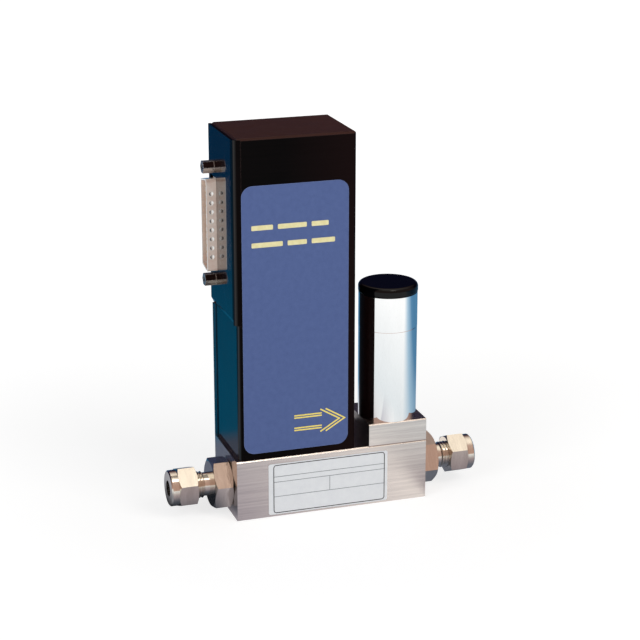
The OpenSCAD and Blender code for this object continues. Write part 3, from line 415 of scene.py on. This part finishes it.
# %% Glossy cap of the valve
cap = plain("cap_gloss", dark=(0.0006, 0.0005, 0.0012), light=(0.0014, 0.0010, 0.0022),
            gloss=(0.08, 0.14), density=1500.0, bump=0.02, Specular_IOR_Level=0.2)
dress(cap, "valve_cap")

# %% [markdown]
# ## The two labels
#
# The front label is a blue printed film with a satin face and a slightly lighter cut edge. The
# rating label is white film with thin ruled fields. Their print is a set of raised, very thin
# solids, so the lines stay crisp; words are left out, and short plain bars hold their place. The
# ink is cream in the bars and a deeper yellow in the arrow at the foot of the label.

# %% Blue label and its print
ARROW_YELLOW = (1.12, 1.00, 0.42)
ARROW_Z = (0.060, 0.055)
LABEL_EDGE = (0.20, 0.26, 0.46)

blue, t, shader, colour = finish(
    "label_blue", dark=(0.072, 0.108, 0.262), light=(0.086, 0.128, 0.298), gloss=(0.38, 0.50),
    density=3500.0, bump=0.05, smudge_size=25.0, Specular_IOR_Level=0.12)
edge_wear_and_glint(t, colour, shader, LABEL_EDGE, reach=0.0003, amount=3.0, breakup=0.3)
dress(blue, "front_label")

ink, t, shader, colour = finish(
    "ink_cream", dark=(0.70, 0.62, 0.30), light=(0.82, 0.76, 0.44), gloss=(0.45, 0.6),
    density=4000.0, bump=0.05)
join(t, tinted(t, colour, placed(t, "Z", *ARROW_Z), ARROW_YELLOW, "MULTIPLY"),
     shader.inputs["Base Color"])
dress(ink, "front_print")

# %% White label and its rules
white = plain("label_white", dark=(0.70, 0.72, 0.75), light=(0.76, 0.78, 0.80),
              gloss=(0.35, 0.5), density=2500.0, bump=0.04, smudge_size=40.0)
dress(white, "rating_label")

dark_ink = plain("ink_dark", dark=(0.018, 0.018, 0.022), light=(0.035, 0.036, 0.042),
                 gloss=(0.45, 0.6), density=4000.0, bump=0.05)
dress(dark_ink, "rating_print")
grey_ink = plain("ink_grey", dark=(0.17, 0.19, 0.21), light=(0.24, 0.26, 0.28),
                 gloss=(0.45, 0.6), density=4000.0, bump=0.05)

# %% [markdown]
# ## Connector, seals and electronics
#
# The connector shell and jackscrews are bright plated, the insert is black plastic and the pins
# are gold. The plating picks up strong darks and lights from very near by, which a wide studio
# can't give, so they are painted into its colour: painted shade on the faces toward the housing,
# a painted white highlight on the faces away from it and along the edges, and a painted dark
# reflection band on the upper front of each jackscrew, whose grain also runs in painted streaks
# from near black to white.
#
# Inside are a green board with its chips, capacitors and trimmers, copper windings and rubber
# seals. Most of these are hidden, but they are finished too, because the solids may be opened up
# or cut away.

# %% Connector
SHELL_METAL = 0.3
SHELL_TURN = (0.10, 0.30)
SHELL_SHADE = (0.06, 0.035, 0.03)
PAINTED_SHELL_HIGHLIGHT = (1.0, 1.0, 0.98)
SCREW_SHADE = (0.04, 0.02, 0.02)
PAINTED_SCREW_EDGE_HIGHLIGHT = (1.0, 0.98, 0.95)
SCREW_TURN_UP, SCREW_TURN_FRONT = (0.2, 0.4), (0.5, 0.8)

plated, t, shader, colour = finish(
    "shell_plated", dark=(0.86, 0.64, 0.54), light=(1.00, 0.86, 0.77), gloss=(0.05, 0.12),
    metal=SHELL_METAL, density=900.0, bump=0.12)
# Painted shade on faces turned toward the housing, a painted white highlight on faces turned
# away; those faces also lose their metal so that the painted white shows.
inward, outward = facing(t, "X", *SHELL_TURN), facing(t, "-X", *SHELL_TURN)
colour = tinted(t, colour, inward, SHELL_SHADE, "MULTIPLY")
colour = tinted(t, colour, outward, PAINTED_SHELL_HIGHLIGHT, "MIX")
join(t, maths(t, "MULTIPLY_ADD", outward, -SHELL_METAL, SHELL_METAL), shader.inputs["Metallic"])
# Painted highlight: a bright white line along the shell's edges.
edge_wear_and_glint(t, colour, shader, PAINTED_SHELL_HIGHLIGHT, reach=0.0007, amount=20.0, breakup=0.3)
dress(plated, "dsub_shell")

# The grain runs from near black to white along each screw: painted reflection streaks.
bright, t, shader, colour = finish(
    "screw_plated", dark=(0.04, 0.025, 0.02), light=(1.0, 0.94, 0.88), gloss=(0.04, 0.08),
    metal=0.8, strokes=ALONG_FLOW, density=1200.0, bump=0.05)
# Painted reflection: a dark band on the upper front of each jackscrew.
band = maths(t, "MULTIPLY", facing(t, "Z", *SCREW_TURN_UP), facing(t, "-Y", *SCREW_TURN_FRONT))
colour = tinted(t, colour, band, SCREW_SHADE, "MULTIPLY")
# Painted highlight: white lines along the jackscrews' edges.
edge_wear_and_glint(t, colour, shader, PAINTED_SCREW_EDGE_HIGHLIGHT, amount=8.0, breakup=0.3)
dress(bright, "jackscrews", "jack_nuts")

insert = plain("plastic_black", dark=(0.010, 0.010, 0.012), light=(0.022, 0.022, 0.025),
               gloss=(0.4, 0.6), density=5000.0, bump=0.2)
dress(insert, "dsub_insulator", "board_chips", "coil_bobbin")

gold = plain("pin_gold", dark=(0.72, 0.50, 0.16), light=(0.86, 0.64, 0.28),
             gloss=(0.15, 0.28), metal=1.0, density=4000.0, bump=0.05)
dress(gold, "dsub_pins")

# %% Seals and windings
seal = plain("rubber_seal", dark=(0.008, 0.008, 0.008), light=(0.020, 0.020, 0.020),
             gloss=(0.5, 0.75), density=4000.0, bump=0.3)
dress(seal, "block_seals", "fitting_seals", "sensor_seals", "stem_seal", "plunger_pad")

copper = plain("wire_copper", dark=(0.42, 0.16, 0.06), light=(0.66, 0.30, 0.14),
               gloss=(0.25, 0.4), metal=0.9, strokes=(0.05, 0.05, 1.0), density=5000.0,
               bump=0.8, bump_depth=0.0001)
dress(copper, "coil_winding", "sensor_windings")

# %% Board and its parts
board = plain("board_green", dark=(0.012, 0.085, 0.035), light=(0.025, 0.15, 0.065),
              gloss=(0.2, 0.35), density=1500.0, bump=0.3, bump_depth=0.00005)
dress(board, "main_board")

can = plain("can_blue", dark=(0.02, 0.035, 0.12), light=(0.035, 0.06, 0.18),
            gloss=(0.2, 0.3), density=3000.0, bump=0.05)
dress(can, "board_capacitors")

trimmer = plain("trimmer_blue", dark=(0.03, 0.11, 0.36), light=(0.05, 0.16, 0.46),
                gloss=(0.35, 0.5), density=4000.0)
dress(trimmer, "board_trimmers")

# %% [markdown]
# ## The print on the labels
#
# Ink is a very thin layer, so its outline matters more than its depth. The strokes of the arrow
# and the frame of the small label are made here as thin prisms, because a ribbon that turns a
# corner needs a mitre, and a frame needs round corners. They sit where the solids of the print
# sit, and take their place.

# %% Prisms from flat outlines
def box_of(name):
    """The low and high corner of a CAD solid."""
    solid = NODES[name]
    corners = [solid.matrix_world @ Vector(c) for c in solid.bound_box]
    return (Vector([min(c[i] for c in corners) for i in range(3)]),
            Vector([max(c[i] for c in corners) for i in range(3)]))


def prism(rings, y_front, y_back):
    """Points and faces of a flat shape with thickness. One ring is filled, two make a frame."""
    points, faces, n = [], [], len(rings[0])
    for y in (y_front, y_back):
        for ring in rings:
            points += [(x, y, z) for x, z in ring]
    if len(rings) == 1:
        faces += [tuple(range(n)), tuple(range(2 * n - 1, n - 1, -1))]
        faces += [(i, i + n, (i + 1) % n + n, (i + 1) % n) for i in range(n)]
        return points, faces
    for i in range(n):
        j = (i + 1) % n
        faces += [(i, j, j + n, i + n), (i + 2 * n, i + 3 * n, j + 3 * n, j + 2 * n),
                  (i, i + 2 * n, j + 2 * n, j), (i + n, j + n, j + 3 * n, i + 3 * n)]
    return points, faces


def printed(name, prisms, material, solid=None):
    """One piece of print from several prisms, in the place of a CAD solid if one is named."""
    points, faces = [], []
    for more_points, more_faces in prisms:
        faces += [tuple(i + len(points) for i in face) for face in more_faces]
        points += more_points
    mesh = bpy.data.meshes.new(name)
    mesh.from_pydata(points, [], faces)
    mesh.update()
    mesh.materials.append(material)
    piece = bpy.data.objects.new(name, mesh)
    bpy.context.scene.collection.objects.link(piece)
    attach(piece, "frame")
    if solid:
        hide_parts(solid)
    print(name, "has", len(prisms), "prisms and", len(faces), "faces")


print("rating label at z:", [round(corner.z, 4) for corner in box_of("rating_label")])

# %% Outlines: a ribbon, a rounded rectangle and a strip
MITRE_LIMIT = 0.2


def ribbon(path, width):
    """The outline of a stroke along a path, with mitred corners."""
    path = [Vector(q) for q in path]
    left, right = [], []
    for i, q in enumerate(path):
        before = (q - path[i - 1]).normalized() if i else None
        after = (path[i + 1] - q).normalized() if i < len(path) - 1 else None
        before, after = before or after, after or before
        way = (before + after).normalized()
        side = Vector((-way.y, way.x))
        reach = width / 2 / max(side.dot(Vector((-after.y, after.x))), MITRE_LIMIT)
        left.append(tuple(q + side * reach))
        right.append(tuple(q - side * reach))
    return right + left[::-1]


def rounded(x0, z0, x1, z1, radius, steps=8):
    """A rectangle with round corners."""
    ring = []
    for cx, cz, start in ((x1 - radius, z0 + radius, -90), (x1 - radius, z1 - radius, 0),
                          (x0 + radius, z1 - radius, 90), (x0 + radius, z0 + radius, 180)):
        for i in range(steps + 1):
            a = math.radians(start + 90 * i / steps)
            ring.append((cx + radius * math.cos(a), cz + radius * math.sin(a)))
    return ring


def strip(x0, z0, x1, z1):
    """A rectangle with square corners."""
    return [(x0, z0), (x1, z0), (x1, z1), (x0, z1)]


print("a rounded outline has", len(rounded(0, 0, 1, 1, 0.1)), "points")

# %% Bars and arrow on the front label
GRID_UNITS = 44.5
ARROW_AT = (0.48, 0.077)
STROKE = 0.00058
TAIL_ROWS, TAIL_LENGTH = (-0.5, 0.5, 4.9, 5.9), 11.8
HEAD_STARTS, HEAD_LENGTH = (11.2, 13.5), 8.2
HEAD_LOW, HEAD_TIP, HEAD_HIGH = -2.2, 2.7, 7.6
BAR_ROWS = ((0.839, (0.20, 0.27, 0.16)), (0.776, (0.29, 0.18, 0.22)))
BAR_START = 0.09
BAR_GAP = BAR_HEIGHT = 0.045
BAR_RADIUS = 0.0004
BAR_STEPS = 4

label_low, label_high = box_of("front_label")
ink_low, ink_high = box_of("front_print")
label_w = label_high.x - label_low.x
label_h = label_high.z - label_low.z
unit = label_w / GRID_UNITS
print("front label in mm:", round(label_w * 1000, 2), "x", round(label_h * 1000, 2))


def on_label(x, z):
    """A place on the arrow's own grid, counted from the foot of the arrow."""
    return (label_low.x + ARROW_AT[0] * label_w + x * unit,
            label_low.z + ARROW_AT[1] * label_h + z * unit)


strokes = [ribbon([on_label(0, z), on_label(TAIL_LENGTH, z)], STROKE) for z in TAIL_ROWS]
for x in HEAD_STARTS:
    strokes.append(ribbon([on_label(x, HEAD_LOW), on_label(x + HEAD_LENGTH, HEAD_TIP),
                           on_label(x, HEAD_HIGH)], STROKE))
for share, lengths in BAR_ROWS:
    x = label_low.x + BAR_START * label_w
    z = label_low.z + share * label_h
    for length in lengths:
        strokes.append(rounded(x, z, x + length * label_w, z + BAR_HEIGHT * label_w,
                               BAR_RADIUS, BAR_STEPS))
        x += (length + BAR_GAP) * label_w
printed("front_ink", [prism([q], ink_low.y, ink_high.y) for q in strokes], ink,
        "front_print")

# %% Frame and rules on the small label
FRAME_INSET = 0.0005
FRAME_LINE = 0.00034
FRAME_RADIUS = 0.0014
RULE_LINE = 0.00022
RULES_AT = (0.34, 0.64, 0.75)

plate_low, plate_high = box_of("rating_label")
rule_low, rule_high = box_of("rating_print")
x0, x1 = rule_low.x, rule_high.x
z0, z1 = plate_low.z + FRAME_INSET, plate_high.z - FRAME_INSET
in_x0, in_x1 = x0 + FRAME_LINE, x1 - FRAME_LINE
outer = rounded(x0, z0, x1, z1, FRAME_RADIUS)
inner = rounded(in_x0, z0 + FRAME_LINE, in_x1, z1 - FRAME_LINE, FRAME_RADIUS - FRAME_LINE)
printed("rating_frame", [prism([outer, inner], rule_low.y, rule_high.y)], dark_ink,
        "rating_print")

rows = [z0 + share * (z1 - z0) for share in RULES_AT]
middle = (x0 + x1) / 2
rules = [strip(in_x0, z, in_x1, z + RULE_LINE) for z in rows]
rules.append(strip(middle, rows[0] + RULE_LINE, middle + RULE_LINE, rows[1]))
printed("rating_rules", [prism([q], rule_low.y, rule_high.y) for q in rules], grey_ink)

# %% [markdown]
# ## What the polished parts mirror
#
# A polished surface has almost no colour of its own: it shows its surroundings. In a studio
# those are chosen with care. Here a camera ray sees a white floor and a white sky, while a
# reflected ray sees a small painted studio: a white paper in front that darkens close to the
# object in a painted shadow, a blue room to the right and behind, a dark room to the left, and a
# warm ceiling.
# Painting these on the floor sheet and in the sky costs nothing to render, and unlike real
# cards they can't get in front of another view.

# %% Ramps of colour along a number
BLACK, WHITE = (0, 0, 0), (1, 1, 1)


def ramp(tree, source, low, high, *stops):
    """Colours along a number: each stop is (place from 0 to 1, colour)."""
    n = add(tree, "ShaderNodeValToRGB")
    n.color_ramp.elements.remove(n.color_ramp.elements[1])
    n.color_ramp.elements[0].position = stops[0][0]
    n.color_ramp.elements[0].color = (*stops[0][1], 1)
    for at, colour in stops[1:]:
        n.color_ramp.elements.new(at).color = (*colour, 1)
    return fed(tree, n, span(tree, source, low, high))


def rising(tree, source, low, high):
    """A mask: black at low and white at high."""
    return ramp(tree, source, low, high, (0.0, BLACK), (1.0, WHITE))


def mixed(tree, mask, a, b):
    """One colour where the mask is 0 and another where it is 1."""
    return tinted(tree, a, mask, b, "MIX")


def either(tree, mask, a, b):
    """One shader where the mask is 0 and another where it is 1."""
    return fed(tree, add(tree, "ShaderNodeMixShader"), mask, a, b)


def mirror_rays(tree):
    """A mask for the rays that a mirror or a glass sends out."""
    path = add(tree, "ShaderNodeLightPath")
    return maths(tree, "MAXIMUM", path.outputs["Is Glossy Ray"],
                 path.outputs["Is Transmission Ray"])


print("ramp helpers ready")

# %% [markdown]
# ## The floor
#
# The floor is one wide sheet. It glows a little, so that it stays white in the picture, but part
# of its brightness is real light, so the object keeps a soft shadow. The glow is weaker close
# to the object, a painted shade that darkens the floor around it where the shadow should show.
#
# The mirrored studio is laid out on the same sheet. The X and Y of the place where a reflected
# ray lands tell which wall it would have met: close by lies the paper, and farther off come the
# room behind, which starts at the edge of the paper, and the room on the left.

# %% Floor sheet
FLOOR_HALF = 6.0
FLOOR_DROP = 0.0001


def floor_sheet(half):
    """A square sheet just under the object."""
    mesh = bpy.data.meshes.new("floor")
    mesh.from_pydata([(-half, -half, 0), (half, -half, 0), (half, half, 0), (-half, half, 0)],
                     [], [(0, 1, 2, 3)])
    o = bpy.data.objects.new("floor", mesh)
    bpy.context.scene.collection.objects.link(o)
    o.location.z = cad_low.z - FLOOR_DROP
    return o


floor = floor_sheet(FLOOR_HALF)
print("floor at z =", round(floor.location.z, 5))

# %% The mirrored paper, close to the object
PAPER_X = (-0.045, 0.05)
PAPER_Y = (-0.12, -0.01)
BLOCK_END = (0.041, 0.047)


def paper_colour(t, x, y):
    """Grey on the left, pale on the right; past the block's ends, painted shadow darker the
    nearer.
    """
    before = ramp(t, x, *PAPER_X, (0.0, (0.48, 0.44, 0.49)), (0.9, (1.10, 1.04, 1.00)))
    beside = ramp(t, y, *PAPER_Y, (0.0, (0.95, 0.94, 0.92)), (0.55, (0.75, 0.71, 0.70)),
                  (0.87, (0.38, 0.33, 0.36)), (1.0, (0.15, 0.17, 0.22)))
    past_end = rising(t, maths(t, "ABSOLUTE", x), *BLOCK_END)
    return mixed(t, past_end, before, beside)


print("paper ready")

# %% The mirrored rooms, farther off
PAPER_EDGE = (0.0286, -0.0166)
EDGE_SLANT = 0.9
BLUE_DEPTH = 0.09
DIM_REACH = (0.13, 0.30)
LEFT_X, LEFT_Y = (-0.03, -0.05), (-0.02, 0.0)
END_X, END_Y = (-0.070, -0.076), (0.052, 0.044)
FAR_REACH = (0.08, 0.14)


def room_behind(t, x, y, away):
    """White paper that turns blue past its edge, which slants forward on the right."""
    to_right = maths(t, "MULTIPLY", maths(t, "SUBTRACT", x, PAPER_EDGE[0]), EDGE_SLANT)
    past_edge = maths(t, "ADD", maths(t, "SUBTRACT", y, PAPER_EDGE[1]),
                      maths(t, "MAXIMUM", to_right, 0.0))
    slower = ramp(t, x, -0.06, 0.0, (0.0, WHITE), (1.0, (0.30,) * 3))
    blue_room = ramp(t, maths(t, "MULTIPLY", past_edge, slower), 0.0, BLUE_DEPTH,
                     (0.0, (1.05, 1.05, 1.04)), (0.35, (0.42, 0.60, 0.74)),
                     (0.75, (0.10, 0.25, 0.42)), (1.0, (0.08, 0.22, 0.38)))
    dim = ramp(t, away, *DIM_REACH, (0.0, (0.74, 0.78, 0.80)), (1.0, WHITE))
    return tinted(t, blue_room, 1.0, dim, "MULTIPLY")


def room_left(t, x, y):
    """Dark, then a grey-blue band and a teal wall that fades to navy; past the end, a grey."""
    wall = ramp(t, y, 0.0, 0.5, (0.05, (0.010, 0.013, 0.018)), (0.075, (0.15, 0.17, 0.235)),
                (0.14, (0.13, 0.15, 0.21)), (0.17, (0.002, 0.150, 0.285)),
                (0.5, (0.002, 0.135, 0.265)), (0.9, (0.001, 0.050, 0.135)))
    at_end = maths(t, "MULTIPLY", rising(t, x, *END_X), rising(t, y, *END_Y))
    return mixed(t, at_end, wall, (0.42, 0.43, 0.48))


def mirrored_room(t, x, y, away):
    """The whole studio: paper near by, a room behind and a room on the left."""
    far = rising(t, away, *FAR_REACH)
    is_left = maths(t, "MULTIPLY", rising(t, x, *LEFT_X), rising(t, y, *LEFT_Y))
    elsewhere = mixed(t, far, paper_colour(t, x, y), room_behind(t, x, y, away))
    return mixed(t, is_left, elsewhere, room_left(t, x, y))


print("rooms ready")

# %% Floor paper
FLOOR_GREY = (0.5, 0.5, 0.5)
GLOW_REACH = 1.2

paper = bpy.data.materials.new("floor_paper")
paper.use_nodes = True
t = paper.node_tree
t.nodes.clear()
place = own_place(t)
parts = axes(t, place)
distance = add(t, "ShaderNodeVectorMath", operation="LENGTH")
join(t, place, distance.inputs[0])
away = distance.outputs["Value"]
# Painted shade: the glow is weaker close to the object, so the floor is darker around it.
glow = ramp(t, away, 0.0, GLOW_REACH, (0.08, (0.70,) * 3), (0.35, (0.86,) * 3),
            (1.0, (0.95,) * 3))
diffuse = fed(t, add(t, "ShaderNodeBsdfDiffuse"), FLOOR_GREY)
pale = fed(t, add(t, "ShaderNodeAddShader"), diffuse, fed(t, add(t, "ShaderNodeEmission"), glow))
room = fed(t, add(t, "ShaderNodeEmission"), mirrored_room(t, parts["X"], parts["Y"], away))
out = add(t, "ShaderNodeOutputMaterial")
join(t, either(t, mirror_rays(t), pale, room), out.inputs["Surface"])
floor.data.materials.append(paper)
print("floor paper has", len(t.nodes), "nodes")

# %% [markdown]
# ## Light
#
# A studio shot of a shiny object needs large soft lamps: a small lamp gives a hard white spot.
# The main softbox stands in front on the right, a weaker one fills from the left, and the sky
# gives even light. Together they light a colour about as it is written in its material.
#
# The sky that polished metal mirrors has a rose front half and a navy back half, which meet in a
# warm ceiling. A bright window in it, high in front, gives the white lights on the edges.

# %% Sky
EVEN_LIGHT = 0.4
CEILING = (1.27, 1.16, 1.00)
WINDOW_WAY = Vector((0.10, -0.40, 0.91)).normalized()
WINDOW_EDGE = [math.cos(math.radians(a)) for a in (10, 6)]
WINDOW_LIGHT = (5.0, 4.7, 4.3)
FRONT_TO_BACK = (-0.25, 0.25)

world = bpy.data.worlds.new("sky")
bpy.context.scene.world = world
world.use_nodes = True
t = world.node_tree
t.nodes.clear()
way = add(t, "ShaderNodeTexCoord").outputs["Generated"]
parts = axes(t, way)
front_sky = ramp(t, parts["Z"], 0.0, 1.0, (0.0, (0.57, 0.38, 0.31)), (0.45, (0.57, 0.38, 0.31)),
                 (0.80, (0.66, 0.48, 0.40)), (0.93, CEILING))
back_sky = ramp(t, parts["Z"], 0.0, 1.0, (0.0, (0.08, 0.09, 0.16)), (0.2, (0.012, 0.014, 0.045)),
                (0.42, (0.012, 0.012, 0.035)), (0.65, (0.30, 0.20, 0.18)), (0.93, CEILING))
painted = mixed(t, rising(t, parts["Y"], *FRONT_TO_BACK), front_sky, back_sky)
window = rising(t, agreement(t, way, WINDOW_WAY), *WINDOW_EDGE)
painted = tinted(t, painted, window, WINDOW_LIGHT)
studio = fed(t, add(t, "ShaderNodeBackground"), painted)
even = add(t, "ShaderNodeBackground", Strength=EVEN_LIGHT).outputs[0]
seen = fed(t, add(t, "ShaderNodeBackground"), WHITE)
is_camera = add(t, "ShaderNodeLightPath").outputs["Is Camera Ray"]
out = add(t, "ShaderNodeOutputWorld")
join(t, either(t, is_camera, either(t, mirror_rays(t), even, studio), seen),
     out.inputs["Surface"])
print("sky has", len(t.nodes), "nodes")

# %% Softboxes
LAMP_AIM = (0, 0, 0.07)


def softbox(name, place, size, watts, colour):
    """A rectangular lamp that lights but isn't mirrored; the sky holds what is mirrored."""
    lamp = bpy.data.lights.new(name, "AREA")
    lamp.shape = "RECTANGLE"
    lamp.size, lamp.size_y = size
    lamp.energy = watts
    lamp.color = colour
    o = bpy.data.objects.new(name, lamp)
    bpy.context.scene.collection.objects.link(o)
    o.location = place
    o.rotation_euler = (Vector(LAMP_AIM) - Vector(place)).to_track_quat("-Z", "Y").to_euler()
    o.visible_glossy = False


softbox("softbox_main", place=(0.45, -0.75, 0.75), size=(0.6, 0.6), watts=3.4,
        colour=(1.0, 0.97, 0.93))
softbox("softbox_fill", place=(-0.8, -0.5, 0.5), size=(0.5, 0.7), watts=3.0,
        colour=(0.97, 0.98, 1.0))

# %% [markdown]
# ## Camera
#
# The camera looks down a little from the front left with a long lens, which keeps the upright
# edges almost parallel.

# %% Camera
CAMERA_AZIMUTH = math.radians(-18.26)
CAMERA_ELEVATION = math.radians(17.787)
CAMERA_DISTANCE = 0.77029
CAMERA_TARGET = Vector((-0.0009571, -0.0027750, 0.0787758))
LENS_MM = 105.188
SENSOR_MM = 36.0
CLIP_START, CLIP_END = 0.01, 50.0

camera_data = bpy.data.cameras.new("camera")
camera_data.sensor_width = SENSOR_MM
camera_data.lens = LENS_MM
camera_data.clip_start = CLIP_START
camera_data.clip_end = CLIP_END
camera = bpy.data.objects.new("camera", camera_data)
bpy.context.scene.collection.objects.link(camera)
back = Vector((math.sin(CAMERA_AZIMUTH) * math.cos(CAMERA_ELEVATION),
               -math.cos(CAMERA_AZIMUTH) * math.cos(CAMERA_ELEVATION),
               math.sin(CAMERA_ELEVATION)))
camera.location = CAMERA_TARGET + back * CAMERA_DISTANCE
camera.rotation_euler = (-back).to_track_quat("-Z", "Y").to_euler()
bpy.context.scene.camera = camera
print("camera at", [round(v, 3) for v in camera.location])

# %% [markdown]
#
# The standard view transform shows colours as they are.

# %% Finish
bpy.context.scene.view_settings.view_transform = "Standard"
